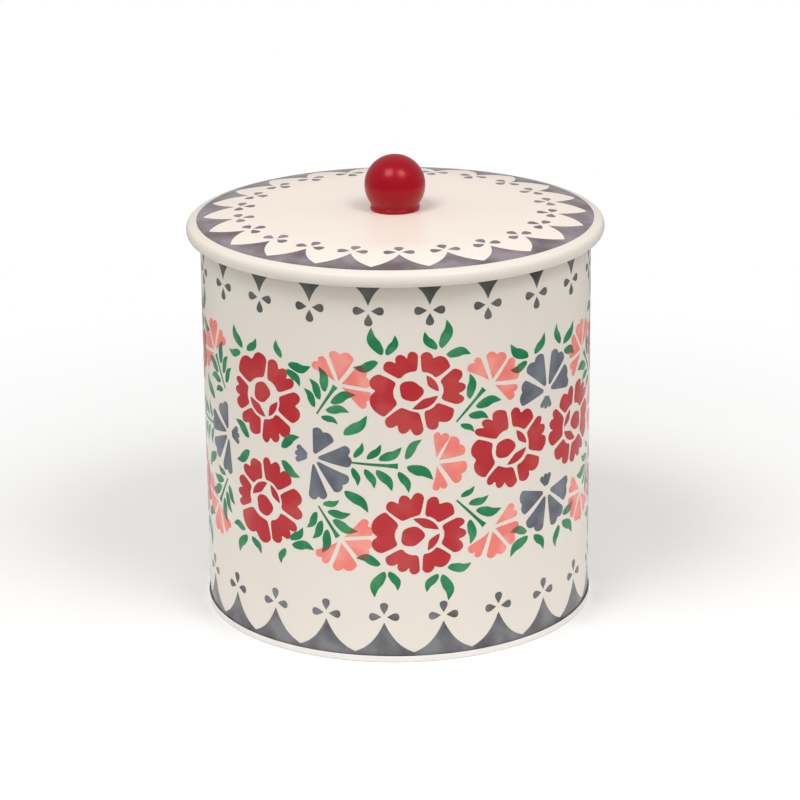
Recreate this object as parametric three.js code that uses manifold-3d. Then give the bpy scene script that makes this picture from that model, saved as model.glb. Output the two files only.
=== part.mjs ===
// Round cookie tin with a plug lid and a ball knob.
// Millimetres, +Z up. The origin is the centre of the face that the tin stands on.
// Every pressed sheet is drawn as a centre line with a thickness, then turned about Z.
import * as THREE from 'three';
import { mergeVertices } from 'three/addons/utils/BufferGeometryUtils.js';
import Module from 'manifold-3d';

const wasm = await Module();
wasm.setup();

// Driving dimensions
const sheet = 0.4;                // tinplate thickness
const gap = 0.3;                  // air left between pieces that touch on the real tin
const turnSegments = 48;          // facets round the large turned pieces
const smallSegments = 30;         // facets round the knob and its fasteners

const wallRadius = 77.2;          // outside of the body
const lidTop = 160.6;             // upper face of the lid, at its flat middle
const flatRadius = 50;            // the lid is flat this far out, then it falls in an arc
const shoulderEdge = 78.5;        // the arc meets the rim here
const shoulderDrop = 2.8;         // fall of the arc from the flat middle to its edge
const lidRadius = 82.5;           // outside of the lid's rolled rim
const rimHeight = 5.3;            // rolled rim, top to bottom
const rimWidth = 3.5;             // rolled rim, inside to outside
const rimFall = 0.65;             // crest of the rim below the edge of the shoulder
const curlRadius = 0.9;           // rolled edge round the mouth of the body

const seamHeight = 2.6;           // double seam round the foot
const seamRadius = 78.0;          // outside of the double seam
const panelRecess = 2.8;          // base panel above the standing face
const panelStep = 0.8;            // raised centre of the base panel

const plugRadius = 75.4;          // outside of the plug collar
const flangeRadius = 60;          // inside of the plug's flange
const plugDepth = 14.4;           // foot of the collar below the top of the lid
const grooveDepth = 1.6;          // seat of the seal in the collar
const grooveRise = 2.6;           // foot of the collar to the foot of the groove
const sealHeight = 4.6;

const ballRadius = 12.1;
const ballCentre = 9.8;           // above the lid's flat middle
const footRadius = 9.8;
const neckRadius = 9.4;
const boreRadius = 3.6;
const boreDepth = 12.0;
const shankRadius = 2.0;
const screwLength = 10.8;

// Levels that follow from them
const lidUnderside = lidTop - sheet;
const shoulderRadius = (shoulderDrop ** 2 + (shoulderEdge - flatRadius) ** 2) / (2 * shoulderDrop);
const edgeTop = lidTop - shoulderDrop;
const curlCentreZ = edgeTop - sheet - gap - curlRadius;
const plugBottom = lidTop - plugDepth;
const sealBottom = plugBottom + grooveRise + sheet + gap;
const wallMiddle = wallRadius - sheet / 2;
const wallInside = wallRadius - sheet;

const tinplate = (color, roughness) => (
  new THREE.MeshStandardMaterial({ color, roughness, metalness: 0.1 })
);
const creamEnamel = () => tinplate(0xe9dfd3, 0.25);
const insideLacquer = () => tinplate(0xe4d9c8, 0.35);

// Points on an ellipse, with the angles in degrees
function arc(centreX, centreY, radiusX, radiusY, from, to, steps) {
  const points = [];
  for (let step = 0; step <= steps; step += 1) {
    const angle = THREE.MathUtils.degToRad(from + (to - from) * step / steps);
    points.push(new THREE.Vector2(
      centreX + radiusX * Math.cos(angle),
      centreY + radiusY * Math.sin(angle),
    ));
  }
  return points;
}

const at = (radius, height) => new THREE.Vector2(radius, height);

// Points on the lid's face between two radii, lowered by depth
function lidFace(from, to, steps, depth) {
  const points = [];
  for (let step = 0; step <= steps; step += 1) {
    const radius = from + (to - from) * step / steps;
    const out = Math.max(radius - flatRadius, 0);
    const fall = shoulderRadius - Math.sqrt(shoulderRadius ** 2 - out ** 2);
    points.push(at(radius, lidTop - fall - depth));
  }
  return points;
}

// The outline of a sheet, from its centre line
function sheetOutline(path, thickness = sheet) {
  const left = [];
  const right = [];
  path.forEach((point, index) => {
    const before = path[Math.max(index - 1, 0)];
    const after = path[Math.min(index + 1, path.length - 1)];
    const along = after.clone().sub(before).normalize();
    const side = at(-along.y, along.x).multiplyScalar(thickness / 2);
    left.push(point.clone().add(side));
    right.push(point.clone().sub(side));
  });
  return left.concat(right.reverse());
}

// A turned solid about Z. An outline that touches the axis stays open there, any other closes.
function turned(outline, segments = turnSegments) {
  const points = outline.map((point) => point.clone());
  if (THREE.ShapeUtils.area(points) < 0) points.reverse();
  const axisPoints = points.filter((point) => Math.abs(point.x) < 1e-9);
  if (axisPoints.length === 0) {
    points.push(points[0].clone());
  } else {
    while (Math.abs(points[0].x) > 1e-9 || Math.abs(points[points.length - 1].x) > 1e-9) {
      points.push(points.shift());
    }
  }
  const geometry = new THREE.LatheGeometry(points, segments);
  geometry.rotateX(Math.PI / 2);
  return geometry;
}

// three.js geometry to a manifold solid and back, for the two pieces that need a boolean
function toSolid(geometry) {
  const bare = geometry.clone();
  bare.deleteAttribute('normal');
  bare.deleteAttribute('uv');
  const merged = mergeVertices(bare, 1e-4);
  const index = merged.index.array;
  const corners = [];
  for (let first = 0; first < index.length; first += 3) {
    const [a, b, c] = [index[first], index[first + 1], index[first + 2]];
    if (a !== b && b !== c && c !== a) corners.push(a, b, c);
  }
  return new wasm.Manifold(new wasm.Mesh({
    numProp: 3,
    vertProperties: new Float32Array(merged.attributes.position.array),
    triVerts: new Uint32Array(corners),
  }));
}

function toGeometry(solid) {
  const mesh = solid.getMesh();
  const geometry = new THREE.BufferGeometry();
  geometry.setAttribute('position', new THREE.BufferAttribute(mesh.vertProperties, 3));
  geometry.setIndex(new THREE.BufferAttribute(mesh.triVerts, 1));
  geometry.computeVertexNormals();
  return geometry;
}

function named(name, geometry, material) {
  const mesh = new THREE.Mesh(geometry, material);
  mesh.name = name;
  return mesh;
}

// Body: one rolled sheet, with its lap down the back and its mouth curled outward
function bodyWall() {
  const footZ = sheet + gap;
  const curlPath = arc(
    wallMiddle + curlRadius - sheet / 2, curlCentreZ,
    curlRadius - sheet / 2, curlRadius - sheet / 2, 180, -90, 10,
  );
  const wall = turned(sheetOutline([at(wallMiddle, footZ), ...curlPath]));

  const lapHalfWidth = 2.2;
  const lapInside = wallRadius - 0.25;
  const lapOutside = wallRadius + 0.3;
  const lapBottom = seamHeight + gap + 0.5;
  const lapTop = curlCentreZ - curlRadius - gap - 0.5;
  const lapPlan = new THREE.Shape([
    at(-lapHalfWidth, lapInside),
    at(lapHalfWidth, lapInside),
    at(lapHalfWidth, lapOutside - 0.1),
    at(0, lapOutside),
    at(-lapHalfWidth, lapOutside - 0.1),
  ]);
  const lap = new THREE.ExtrudeGeometry(lapPlan, {
    depth: lapTop - lapBottom,
    bevelEnabled: false,
  });
  lap.translate(0, 0, lapBottom);
  return toGeometry(toSolid(wall).add(toSolid(lap)));
}

// Base: a recessed panel whose edge folds round the foot of the wall as the double seam
function basePlate() {
  const chuckMiddle = wallInside - gap - sheet / 2;
  const outerMiddle = seamRadius - sheet / 2;
  const floorMiddle = sheet / 2;
  const bend = 0.45;
  return turned(sheetOutline([
    at(0, panelRecess + panelStep),
    at(54, panelRecess + panelStep),
    at(56.5, panelRecess),
    at(70, panelRecess),
    ...arc(chuckMiddle - 1, panelRecess - 1, 1, 1, 90, 0, 2),
    ...arc(chuckMiddle + bend, floorMiddle + bend, bend, bend, 180, 270, 2),
    ...arc(outerMiddle - bend, floorMiddle + bend, bend, bend, 270, 360, 2),
    at(outerMiddle, seamHeight),
  ]));
}

// Lid: flat in the middle, falling in a soft shoulder to a hollow rolled rim
function lidShell() {
  const holeRadius = shankRadius + 0.5;
  const rimCentreR = lidRadius - rimWidth / 2;
  const rimCentreZ = edgeTop - rimFall - rimHeight / 2;
  const rimPath = arc(
    rimCentreR, rimCentreZ,
    (rimWidth - sheet) / 2, (rimHeight - sheet) / 2, 80, -155, 14,
  );
  return turned(sheetOutline([
    at(holeRadius, lidTop - sheet / 2),
    ...lidFace(flatRadius, shoulderEdge, 5, sheet / 2),
    ...rimPath,
  ]));
}

// Plug: the collar under the lid that enters the mouth, with a groove for the seal
function lidPlug() {
  const collarMiddle = plugRadius - sheet / 2;
  const grooveMiddle = collarMiddle - grooveDepth;
  const bottomMiddle = plugBottom + sheet / 2;
  const grooveBottom = sealBottom - gap - sheet / 2;
  const grooveTop = grooveBottom + sealHeight + 2 * gap + sheet;
  const flange = lidFace(flangeRadius, collarMiddle - 1, 3, sheet + gap + sheet / 2);
  const bendZ = flange[flange.length - 1].y - 1;
  return turned(sheetOutline([
    ...flange,
    ...arc(collarMiddle - 1, bendZ, 1, 1, 60, 0, 2),
    at(collarMiddle, grooveTop + 0.6),
    at(grooveMiddle, grooveTop),
    at(grooveMiddle, grooveBottom),
    at(collarMiddle, grooveBottom - 0.6),
    ...arc(collarMiddle - 0.7, bottomMiddle + 0.7, 0.7, 0.7, 0, -90, 2),
    at(grooveMiddle - 0.4, bottomMiddle),
  ]));
}

// Seal: a two-lipped silicone ring that sits in the groove and grips the wall
function sealRing() {
  const inside = plugRadius - grooveDepth + gap;
  const lip = wallInside - gap - 0.1;
  const valley = lip - 0.9;
  const top = sealBottom + sealHeight;
  const lipLow = sealBottom + 0.25 * sealHeight;
  const lipHigh = sealBottom + 0.75 * sealHeight;
  return turned([
    at(inside, sealBottom),
    at(valley, sealBottom),
    at(lip, lipLow),
    at(valley, (lipLow + lipHigh) / 2),
    at(lip, lipHigh),
    at(valley, top),
    at(inside, top),
  ]);
}

// Knob: a ball that runs down into a short foot, bored from below
function knob() {
  const bottom = lidTop + gap;
  const centre = lidTop + ballCentre;
  const neckAngle = -THREE.MathUtils.radToDeg(Math.acos(neckRadius / ballRadius));
  const neckZ = centre + ballRadius * Math.sin(THREE.MathUtils.degToRad(neckAngle));
  const boreTop = bottom + boreDepth;
  const ball = arc(0, centre, ballRadius, ballRadius, neckAngle, 90, 13);
  ball[ball.length - 1].x = 0;
  return turned([
    at(0, boreTop),
    at(boreRadius, boreTop),
    at(boreRadius, bottom),
    at(footRadius - 0.3, bottom),
    at(footRadius, bottom + 0.3),
    at(footRadius, neckZ - 0.5),
    ...ball,
  ], smallSegments);
}

// Threaded insert, pressed into the knob's bore
function knobInsert() {
  const outside = boreRadius - gap;
  const inside = shankRadius + gap;
  const bottom = lidTop + 2 * gap;
  const top = bottom + boreDepth - 3 * gap;
  const waist = (bottom + top) / 2;
  return turned([
    at(inside, bottom),
    at(outside, bottom),
    at(outside, waist - 0.8),
    at(outside - 0.4, waist - 0.5),
    at(outside - 0.4, waist + 0.5),
    at(outside, waist + 0.8),
    at(outside, top),
    at(inside, top),
  ], smallSegments);
}

// Washer, between the lid and the screw's head
function knobWasher() {
  const thickness = 0.8;
  const top = lidUnderside - gap;
  return turned([
    at(shankRadius + 0.4, top - thickness),
    at(6, top - thickness),
    at(6, top),
    at(shankRadius + 0.4, top),
  ], smallSegments);
}

// Pan-head screw with a cross recess, up through the lid into the insert
function knobScrew() {
  const headRadius = 4;
  const headHeight = 2.4;
  const shoulder = lidUnderside - 2 * gap - 0.8;
  const headBottom = shoulder - headHeight;
  const tip = shoulder + screwLength;
  const blank = turned([
    at(0, headBottom),
    at(headRadius - 1.1, headBottom),
    at(headRadius - 0.3, headBottom + 0.5),
    at(headRadius, headBottom + 1.3),
    at(headRadius, shoulder),
    at(shankRadius, shoulder),
    at(shankRadius, tip - 0.6),
    at(shankRadius - 0.5, tip),
    at(0, tip),
  ], smallSegments);
  const recessDepth = 1.4;
  const bladeLength = 3.8;
  const bladeWidth = 0.9;
  let solid = toSolid(blank);
  for (const quarterTurn of [0, Math.PI / 2]) {
    const blade = new THREE.BoxGeometry(bladeLength, bladeWidth, 2 * recessDepth);
    blade.rotateZ(quarterTurn);
    blade.translate(0, 0, headBottom);
    solid = solid.subtract(toSolid(blade));
  }
  return toGeometry(solid);
}

const tin = new THREE.Group();
tin.name = 'tin';
tin.add(
  named('body_wall', bodyWall(), creamEnamel()),
  named('base_plate', basePlate(), creamEnamel()),
);

const lid = new THREE.Group();
lid.name = 'lid';
lid.add(
  named('lid_shell', lidShell(), creamEnamel()),
  named('lid_plug', lidPlug(), insideLacquer()),
  named('seal_ring', sealRing(), new THREE.MeshStandardMaterial({
    color: 0xeeeeea, roughness: 0.55, metalness: 0,
  })),
  named('knob', knob(), new THREE.MeshStandardMaterial({
    color: 0x9c1620, roughness: 0.15, metalness: 0,
  })),
  named('knob_insert', knobInsert(), new THREE.MeshStandardMaterial({
    color: 0xb58a3c, roughness: 0.35, metalness: 1,
  })),
  named('knob_washer', knobWasher(), new THREE.MeshStandardMaterial({
    color: 0xb9bcc0, roughness: 0.35, metalness: 1,
  })),
  named('knob_screw', knobScrew(), new THREE.MeshStandardMaterial({
    color: 0xb9bcc0, roughness: 0.3, metalness: 1,
  })),
);

const cookieTin = new THREE.Group();
cookieTin.add(tin, lid);

export default cookieTin;
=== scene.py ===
# Cookie tin: cream enamelled body and plug lid, stencilled flowers, red ball knob.
import math
import random

import bmesh
import bpy
from mathutils import Matrix, Vector
from mathutils.geometry import delaunay_2d_cdt


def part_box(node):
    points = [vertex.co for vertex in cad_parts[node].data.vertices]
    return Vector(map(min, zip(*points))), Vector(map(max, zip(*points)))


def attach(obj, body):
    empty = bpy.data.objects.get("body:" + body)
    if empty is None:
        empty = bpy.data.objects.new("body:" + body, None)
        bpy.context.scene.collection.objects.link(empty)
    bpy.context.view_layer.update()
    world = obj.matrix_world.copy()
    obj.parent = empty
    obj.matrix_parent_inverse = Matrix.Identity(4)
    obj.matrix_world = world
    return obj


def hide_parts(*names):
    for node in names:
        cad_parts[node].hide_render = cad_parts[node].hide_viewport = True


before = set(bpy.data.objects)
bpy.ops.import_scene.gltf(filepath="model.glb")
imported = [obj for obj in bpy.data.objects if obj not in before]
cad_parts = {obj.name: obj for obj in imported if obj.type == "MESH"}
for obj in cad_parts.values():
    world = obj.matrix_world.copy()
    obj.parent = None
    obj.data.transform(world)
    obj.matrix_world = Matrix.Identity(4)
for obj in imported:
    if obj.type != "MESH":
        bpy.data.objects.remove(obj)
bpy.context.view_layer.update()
mm = 0.001

# the places of the pressed pieces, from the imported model
_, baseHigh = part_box("base_plate")
_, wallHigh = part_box("body_wall")
lidLow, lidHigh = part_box("lid_shell")
plugLow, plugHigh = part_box("lid_plug")
sealLow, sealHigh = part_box("seal_ring")
knobLow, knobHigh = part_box("knob")
washerLow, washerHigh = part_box("knob_washer")
screwLow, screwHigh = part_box("knob_screw")

tin = {
    "sheet": 0.4 * mm,          # thickness of the tinplate
    "seamProud": 0.8 * mm,      # the double seam stands this far out from the wall
    "seamTop": 2.6 * mm,
    "flatRadius": 50 * mm,      # the lid is flat this far out, then falls in an arc
    "shoulderEdge": 78.5 * mm,  # where the arc meets the rolled rim
    "shoulderDrop": 2.8 * mm,
    "rimWidth": 3.5 * mm,
    "rimHeight": 5.3 * mm,
    "curl": 0.9 * mm,           # radius of the rolled mouth
    "facets": 192,              # steps round each large turned piece
}
wallRadius = baseHigh.x - tin["seamProud"]
lidTop = lidHigh.z
lidRadius = lidHigh.x


def lidLevel(radius):
    # height of the lid's face above the floor
    out = max(radius - tin["flatRadius"], 0)
    run, drop = tin["shoulderEdge"] - tin["flatRadius"], tin["shoulderDrop"]
    bend = (drop * drop + run * run) / (2 * drop)
    return lidTop - bend + math.sqrt(bend * bend - out * out)


def arc(cx, cy, rx, ry, start, stop, steps):
    points = []
    for i in range(steps + 1):
        a = math.radians(start + (stop - start) * i / steps)
        points.append((cx + rx * math.cos(a), cy + ry * math.sin(a)))
    return points


def sheetOutline(path, thickness):
    # both faces of a sheet, from its centre line
    left, right = [], []
    for i, (x, y) in enumerate(path):
        x0, y0 = path[max(i - 1, 0)]
        x1, y1 = path[min(i + 1, len(path) - 1)]
        length = math.hypot(x1 - x0, y1 - y0)
        nx, ny = -(y1 - y0) / length, (x1 - x0) / length
        left.append((x + nx * thickness / 2, y + ny * thickness / 2))
        right.append((x - nx * thickness / 2, y - ny * thickness / 2))
    return left + right[::-1]


def signedArea(points):
    total = 0
    for (x0, y0), (x1, y1) in zip(points, points[1:] + points[:1]):
        total += x0 * y1 - x1 * y0
    return total / 2


def setInputs(node, values):
    for label, value in values.items():
        node.inputs[label].default_value = value


def addObject(name, mesh):
    piece = bpy.data.objects.new(name, mesh)
    bpy.context.scene.collection.objects.link(piece)
    return piece


def turnedPiece(name, outline, materials, facets=None, slotAt=None, shape=None):
    # outline is in (radius, height); one that touches the axis stays open there
    facets = facets or tin["facets"]
    points = list(outline)
    if signedArea(points) < 0:
        points.reverse()
    onAxis = [i for i, p in enumerate(points) if abs(p[0]) < 1e-9]
    closed = not onAxis
    if onAxis:
        while abs(points[0][0]) > 1e-9 or abs(points[-1][0]) > 1e-9:
            points = points[1:] + points[:1]
    verts, rings = [], []
    for r, z in points:
        if abs(r) < 1e-9:
            rings.append([len(verts)] * facets)
            verts.append((0, 0, z))
            continue
        ring = []
        for k in range(facets):
            a = 2 * math.pi * k / facets
            rr = shape(a, r, z) if shape else r
            ring.append(len(verts))
            verts.append((rr * math.sin(a), -rr * math.cos(a), z))
        rings.append(ring)
    faces, slots = [], []
    pairs = list(zip(range(len(points)), range(1, len(points))))
    if closed:
        pairs.append((len(points) - 1, 0))
    for i, j in pairs:
        (r0, z0), (r1, z1) = points[i], points[j]
        slot = slotAt((r0 + r1) / 2, (z0 + z1) / 2) if slotAt else 0
        for k in range(facets):
            n = (k + 1) % facets
            face = []
            for v in (rings[i][k], rings[i][n], rings[j][n], rings[j][k]):
                if v not in face:
                    face.append(v)
            if len(face) > 2:
                faces.append(face)
                slots.append(slot)
    mesh = bpy.data.meshes.new(name)
    mesh.from_pydata(verts, [], faces)
    for material in materials:
        mesh.materials.append(material)
    mesh.polygons.foreach_set("material_index", slots)
    mesh.polygons.foreach_set("use_smooth", [True] * len(faces))
    mesh.set_sharp_from_angle(angle=math.radians(42))
    return addObject(name, mesh)


camera = {
    "away": 1.150,        # from the tin's axis, along the floor
    "height": 0.4658,
    "tilt": 18.50,        # degrees down
    "turn": -0.056,
    "roll": -0.60,
    "lens": 135.5,
}
camData = bpy.data.cameras.new("camera")
camData.lens = camera["lens"]
camData.clip_start = 0.01
camObject = addObject("camera", camData)
camObject.matrix_world = (
    Matrix.Translation((0, -camera["away"], camera["height"]))
    @ Matrix.Rotation(math.radians(camera["turn"]), 4, "Z")
    @ Matrix.Rotation(math.radians(90 - camera["tilt"]), 4, "X")
    @ Matrix.Rotation(math.radians(camera["roll"]), 4, "Z")
)
bpy.context.scene.camera = camObject
bpy.context.scene.view_settings.view_transform = "Standard"

studio = {
    "middle": Vector((0, 0, 0.09)),
    "roomFill": 0.47,           # even light that the pale room gives to matt surfaces
    "roomTint": (1, 0.99, 0.975, 1),
    "mirrorFront": 0.10,        # what glossy surfaces mirror behind the camera
    "mirrorBack": 0.55,         # and behind the tin
    "mirrorTurn": (-0.35, 0.55),  # the mirrored room changes from one to the other between these
    "floor": 0.93,
    "floorHalf": 6.0,
    "floorGlow": 0.03,
    "fadeStart": 0.16,          # the floor fades into the white room between these distances
    "fadeEnd": 0.42,
    # azimuth from the camera, elevation, distance, size, radiance
    "lamps": {
        "softboxLeft": (-38, 58, 1.3, 0.56, 8.4),
        "softboxRight": (40, 54, 1.3, 0.54, 7.5),
        "fillFront": (0, 24, 1.4, 0.90, 0.45),
        "fillLeft": (-84, 22, 1.2, 0.80, 0.7),
        "fillRight": (84, 22, 1.2, 0.80, 0.9),
    },
}


def placeLamp(name, azimuth, elevation, distance, size, radiance):
    # a round lamp that faces the tin; only the softboxes show in glossy surfaces
    a, e = math.radians(azimuth), math.radians(elevation)
    back = Vector((math.sin(a) * math.cos(e), -math.cos(a) * math.cos(e), math.sin(e)))
    lamp = bpy.data.lights.new(name, "AREA")
    lamp.shape = "DISK"
    lamp.size = size
    lamp.energy = radiance * math.pi * math.pi * (size / 2) ** 2
    lampObject = addObject(name, lamp)
    lampObject.visible_glossy = name.startswith("softbox")
    lampObject.location = studio["middle"] + back * distance
    lampObject.rotation_mode = "QUATERNION"
    lampObject.rotation_quaternion = back.to_track_quat("Z", "Y")


def makeRoom():
    # matt surfaces get an even fill, glossy ones mirror a ramp, and the camera sees white
    world = bpy.data.worlds.new("studioRoom")
    bpy.context.scene.world = world
    world.use_nodes = True
    nodes, links = world.node_tree.nodes, world.node_tree.links
    nodes.clear()
    fill, mirror, seen = (nodes.new("ShaderNodeBackground") for _ in range(3))
    setInputs(fill, {"Color": studio["roomTint"], "Strength": studio["roomFill"]})
    setInputs(mirror, {"Color": (0.8, 0.8, 0.8, 1)})
    setInputs(seen, {"Color": (1, 1, 1, 1)})
    way = nodes.new("ShaderNodeTexCoord")
    split = nodes.new("ShaderNodeSeparateXYZ")
    ramp = nodes.new("ShaderNodeMapRange")
    ramp.interpolation_type = "SMOOTHSTEP"
    setInputs(ramp, {
        "From Min": studio["mirrorTurn"][0], "From Max": studio["mirrorTurn"][1],
        "To Min": studio["mirrorFront"], "To Max": studio["mirrorBack"],
    })
    links.new(way.outputs["Generated"], split.inputs["Vector"])
    links.new(split.outputs["Y"], ramp.inputs["Value"])
    links.new(ramp.outputs["Result"], mirror.inputs["Strength"])
    rays = nodes.new("ShaderNodeLightPath")
    shown = fill.outputs["Background"]
    for kind, other in (("Is Glossy Ray", mirror), ("Is Camera Ray", seen)):
        mix = nodes.new("ShaderNodeMixShader")
        links.new(rays.outputs[kind], mix.inputs["Fac"])
        links.new(shown, mix.inputs[1])
        links.new(other.outputs["Background"], mix.inputs[2])
        shown = mix.outputs["Shader"]
    links.new(shown, nodes.new("ShaderNodeOutputWorld").inputs["Surface"])


def makeFloor():
    far = studio["floorHalf"]
    mesh = bpy.data.meshes.new("floor")
    mesh.from_pydata([(-far, -far, 0), (far, -far, 0), (far, far, 0), (-far, far, 0)], [], [(0, 1, 2, 3)])
    paper = bpy.data.materials.new("floorPaper")
    paper.use_nodes = True
    nodes, links = paper.node_tree.nodes, paper.node_tree.links
    shader = nodes["Principled BSDF"]
    setInputs(shader, {
        "Base Color": (studio["floor"],) * 3 + (1,), "Roughness": 0.9, "Specular IOR Level": 0.0,
        "Emission Color": (1, 1, 1, 1), "Emission Strength": studio["floorGlow"],
    })
    place = nodes.new("ShaderNodeTexCoord")
    away = nodes.new("ShaderNodeVectorMath")
    away.operation = "LENGTH"
    fade = nodes.new("ShaderNodeMapRange")
    fade.interpolation_type = "SMOOTHSTEP"
    fadeRange = {"From Min": studio["fadeStart"], "From Max": studio["fadeEnd"], "To Min": 1.0, "To Max": 0.0}
    setInputs(fade, fadeRange)
    links.new(place.outputs["Object"], away.inputs[0])
    links.new(away.outputs["Value"], fade.inputs["Value"])
    links.new(fade.outputs["Result"], shader.inputs["Alpha"])
    mesh.materials.append(paper)
    return addObject("floor", mesh)


for lampName, lampSettings in studio["lamps"].items():
    placeLamp(lampName, *lampSettings)
makeRoom()
floor = makeFloor()
print("stage: camera, lights and floor are set")


def newGroup(name, inputs, outputs):
    # a value of four numbers is a colour, one of three is a vector
    group = bpy.data.node_groups.new(name, "ShaderNodeTree")
    for way, sockets in (("INPUT", inputs), ("OUTPUT", outputs)):
        for label, value in sockets.items():
            kind = {3: "Vector", 4: "Color"}[len(value)] if isinstance(value, tuple) else "Float"
            socket = group.interface.new_socket(name=label, in_out=way, socket_type="NodeSocket" + kind)
            socket.default_value = value
    return group, group.nodes.new("NodeGroupInput").outputs, group.nodes.new("NodeGroupOutput").inputs


def feed(tree, socket, source):
    # a socket takes another node's output or a plain value
    if isinstance(source, bpy.types.NodeSocket):
        tree.links.new(source, socket)
    else:
        socket.default_value = source


def calculate(tree, kind, operation, first, second):
    node = tree.nodes.new(kind)
    node.operation = operation
    feed(tree, node.inputs[0], first)
    feed(tree, node.inputs[1], second)
    return node.outputs[0]


def multiply(tree, first, second):
    return calculate(tree, "ShaderNodeMath", "MULTIPLY", first, second)


def perMetre(tree, size):
    # a noise's scale, from the size of its patches
    return calculate(tree, "ShaderNodeMath", "DIVIDE", 1.0, size)


def mixColours(tree, amount, first, second):
    node = tree.nodes.new("ShaderNodeMix")
    node.data_type = "RGBA"
    feed(tree, node.inputs[0], amount)
    feed(tree, node.inputs[6], first)
    feed(tree, node.inputs[7], second)
    return node.outputs[2]


def mask(tree, value, start, stop, kind="SMOOTHSTEP"):
    node = tree.nodes.new("ShaderNodeMapRange")
    node.interpolation_type = kind
    setInputs(node, {"From Min": start, "From Max": stop})
    feed(tree, node.inputs["Value"], value)
    return node.outputs["Result"]


def noise(tree, place, scale, detail, roughness=0.5):
    node = tree.nodes.new("ShaderNodeTexNoise")
    feed(tree, node.inputs["Vector"], place)
    feed(tree, node.inputs["Scale"], scale)
    setInputs(node, {"Detail": detail, "Roughness": roughness})
    return node.outputs["Fac"]


def ownPlace(tree):
    return tree.nodes.new("ShaderNodeTexCoord").outputs["Object"]


def makeInkPatches():
    # ink dabbed through a stencil: thin and deep patches, and a fine sponge grain
    group, entry, result = newGroup("inkPatches", {
        "Ink": (0.4, 0.03, 0.04, 1), "Thin Ink": (0.5, 0.08, 0.08, 1), "Deep Ink": (0.3, 0.01, 0.02, 1),
        "Patch Size": 0.016, "Patch Amount": 0.8, "Grain Amount": 0.3, "Shift": 0.0,
    }, {"Color": (0, 0, 0, 1)})
    place = calculate(group, "ShaderNodeVectorMath", "ADD", ownPlace(group), entry["Shift"])
    patch = noise(group, place, perMetre(group, entry["Patch Size"]), 2.0, 0.45)
    grain = noise(group, place, 900.0, 4.0, 0.65)
    colour = entry["Ink"]
    for where, amount, ink in (
        (mask(group, patch, 0.46, 0.66), "Patch Amount", "Thin Ink"),
        (mask(group, patch, 0.50, 0.32), "Patch Amount", "Deep Ink"),
        (mask(group, grain, 0.40, 0.68, "LINEAR"), "Grain Amount", "Thin Ink"),
    ):
        colour = mixColours(group, multiply(group, where, entry[amount]), colour, entry[ink])
    group.links.new(colour, result["Color"])
    return group


def makeEnamelSkin():
    # the slight orange peel and uneven gloss of stoved enamel
    sizes = {"Peel Size": 0.0022, "Gloss": 0.16, "Gloss Change": 0.05}
    group, entry, result = newGroup("enamelSkin", sizes, {"Height": 0.0, "Roughness": 0.0})
    place = ownPlace(group)
    peel = noise(group, place, perMetre(group, entry["Peel Size"]), 1.5)
    spread = multiply(group, noise(group, place, 38.0, 4.0), entry["Gloss Change"])
    group.links.new(peel, result["Height"])
    group.links.new(calculate(group, "ShaderNodeMath", "ADD", spread, entry["Gloss"]), result["Roughness"])
    return group


def makeTonePatches():
    # a slow drift between two close tones, with faint fine flecks
    group, entry, result = newGroup("tonePatches", {
        "Tone": (0.8, 0.75, 0.7, 1), "Other Tone": (0.75, 0.7, 0.65, 1), "Patch Size": 0.05,
        "Fleck Size": 0.001, "Fleck Amount": 0.15, "Stretch": (1, 1, 1),
    }, {"Color": (0, 0, 0, 1), "Fleck": 0.0})
    place = calculate(group, "ShaderNodeVectorMath", "MULTIPLY", ownPlace(group), entry["Stretch"])
    drift = noise(group, place, perMetre(group, entry["Patch Size"]), 3.0)
    fleck = noise(group, place, perMetre(group, entry["Fleck Size"]), 3.0)
    colour = mixColours(group, drift, entry["Tone"], entry["Other Tone"])
    colour = mixColours(group, multiply(group, fleck, entry["Fleck Amount"]), colour, entry["Other Tone"])
    group.links.new(colour, result["Color"])
    group.links.new(fleck, result["Fleck"])
    return group


inkPatches = makeInkPatches()
enamelSkin = makeEnamelSkin()
tonePatches = makeTonePatches()


def placeGroup(tree, group, values):
    node = tree.nodes.new("ShaderNodeGroup")
    node.node_tree = group
    for label, value in values.items():
        socket = node.inputs[label]
        socket.default_value = (*value, 1) if socket.type == "RGBA" else value
    return node.outputs


def makeFinish(name, settings, pattern, tones, peel, gloss, glossChange, height=0.0, bumpFleck=False):
    # plain settings on the shader, with its colour, roughness and bump from two groups
    material = bpy.data.materials.new(name)
    material.use_nodes = True
    tree = material.node_tree
    shader = tree.nodes["Principled BSDF"]
    setInputs(shader, settings)
    colour = placeGroup(tree, pattern, tones)
    skin = placeGroup(tree, enamelSkin, {"Peel Size": peel, "Gloss": gloss, "Gloss Change": glossChange})
    tree.links.new(colour["Color"], shader.inputs["Base Color"])
    tree.links.new(skin["Roughness"], shader.inputs["Roughness"])
    if height:
        addBump(material, colour["Fleck"] if bumpFleck else skin["Height"], height)
    return material


def addBump(material, height, distance):
    tree = material.node_tree
    bump = tree.nodes.new("ShaderNodeBump")
    setInputs(bump, {"Strength": 1.0, "Distance": distance})
    tree.links.new(height, bump.inputs["Height"])
    tree.links.new(bump.outputs["Normal"], tree.nodes["Principled BSDF"].inputs["Normal"])


enamel = {
    "gloss": 0.16,
    "glossChange": 0.06,
    "peel": 0.0024,
    "peelHeight": 0.000004,
    "shader": {"IOR": 1.45, "Specular IOR Level": 0.22},
}


def makeEnamel(name, tone, otherTone, gloss=enamel["gloss"]):
    return makeFinish(name, enamel["shader"], tonePatches, {
        "Tone": tone, "Other Tone": otherTone, "Patch Size": 0.06, "Fleck Size": 0.0009, "Fleck Amount": 0.18,
    }, enamel["peel"], gloss, enamel["glossChange"], enamel["peelHeight"])


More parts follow.
